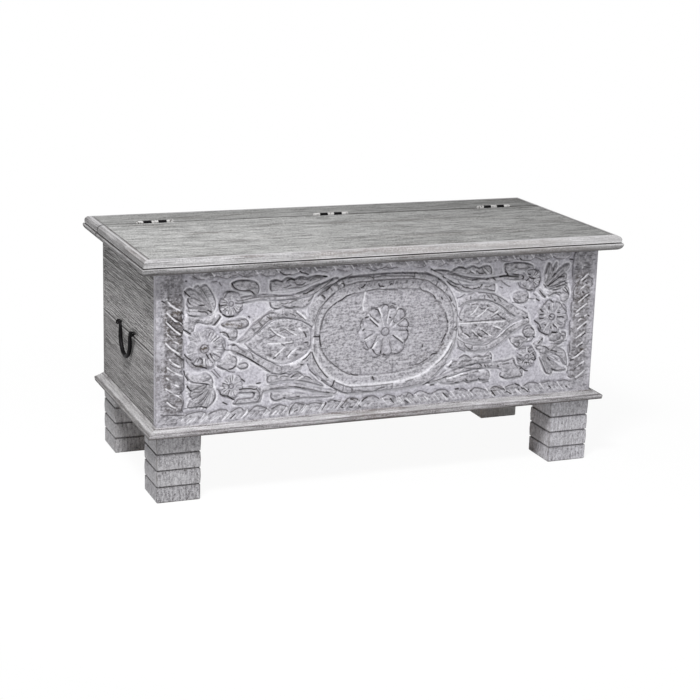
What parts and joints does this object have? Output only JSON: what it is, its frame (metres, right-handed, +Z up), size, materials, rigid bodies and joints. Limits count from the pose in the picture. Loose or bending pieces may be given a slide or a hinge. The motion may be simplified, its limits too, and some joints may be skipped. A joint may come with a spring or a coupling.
{
  "type": "storage chest",
  "caption": "Carved whitewashed wooden chest on block feet with a moulded base, a hinged moulded lid, a fixed back rail and iron drop handles.",
  "frame": {"origin": "on the floor under the middle of the top, the bottom centre of the bounding box", "axes": "+X along the chest to its right end as seen from the front, +Y from the carved front to the back, +Z up"},
  "size_m": [1.1, 0.508, 0.5335],
  "materials": {
    "carved_wood": "whitewashed, sanded back, matt",
    "side_wood": "grey wash over open grain, matt",
    "top_wood": "grey wash over open grain, matt",
    "moulding_wood": "whitewashed, worn edges, matt",
    "foot_wood": "whitewashed, matt",
    "inner_wood": "bare sawn hardwood",
    "dowel_wood": "bare hardwood",
    "black_iron": "forged and blackened",
    "painted_iron": "iron under worn whitewash",
    "steel": "dull steel"
  },
  "bodies": {
    "case": {"back_board_lower": "side_wood", "back_board_middle": "side_wood", "back_board_upper": "side_wood", "base_frame_back": "inner_wood", "base_frame_front": "moulding_wood", "base_frame_left": "moulding_wood", "base_frame_right": "moulding_wood", "base_screws": "steel", "corner_dowels": "dowel_wood", "floor_bearer": "inner_wood", "floor_board_back": "inner_wood", "floor_board_front": "inner_wood", "floor_board_middle": "inner_wood", "floor_nails": "steel", "foot_back_left": "foot_wood", "foot_back_right": "foot_wood", "foot_front_left": "foot_wood", "foot_front_right": "foot_wood", "foot_screws": "steel", "front_panel": "carved_wood", "left_handle_staples": "black_iron", "left_hinge_pin": "painted_iron", "left_hinge_rail_leaf": "painted_iron", "left_side_board_lower": "side_wood", "left_side_board_middle": "side_wood", "left_side_board_upper": "side_wood", "middle_hinge_pin": "painted_iron", "middle_hinge_rail_leaf": "painted_iron", "rail_back_moulding": "moulding_wood", "rail_dowels": "dowel_wood", "rail_hinge_screws": "steel", "rail_left_moulding": "moulding_wood", "rail_right_moulding": "moulding_wood", "right_handle_staples": "black_iron", "right_hinge_pin": "painted_iron", "right_hinge_rail_leaf": "painted_iron", "right_side_board_lower": "side_wood", "right_side_board_middle": "side_wood", "right_side_board_upper": "side_wood", "top_back_rail": "top_wood"},
    "lid": {"batten_screws": "steel", "left_hinge_lid_leaf": "black_iron", "lid_board_back": "top_wood", "lid_board_front": "top_wood", "lid_board_middle": "top_wood", "lid_front_moulding": "moulding_wood", "lid_hinge_screws": "steel", "lid_left_batten": "inner_wood", "lid_left_moulding": "moulding_wood", "lid_right_batten": "inner_wood", "lid_right_moulding": "moulding_wood", "middle_hinge_lid_leaf": "black_iron", "right_hinge_lid_leaf": "black_iron"},
    "left_bail": {"left_bail": "black_iron"},
    "right_bail": {"right_bail": "black_iron"}
  },
  "joints": [
    {"name": "lid_hinge", "type": "hinge", "parent": "case", "child": "lid", "pos_m": [0, 0.132, 0.5295], "axis": [-1, 0, 0], "range_deg": [0, 180]},
    {"name": "left_bail_swing", "type": "hinge", "parent": "case", "child": "left_bail", "pos_m": [-0.5175, 0.008, 0.32598], "axis": [0, 1, 0], "range_deg": [-2, 182]},
    {"name": "right_bail_swing", "type": "hinge", "parent": "case", "child": "right_bail", "pos_m": [0.5175, 0.008, 0.32598], "axis": [0, -1, 0], "range_deg": [-2, 182]}
  ]
}
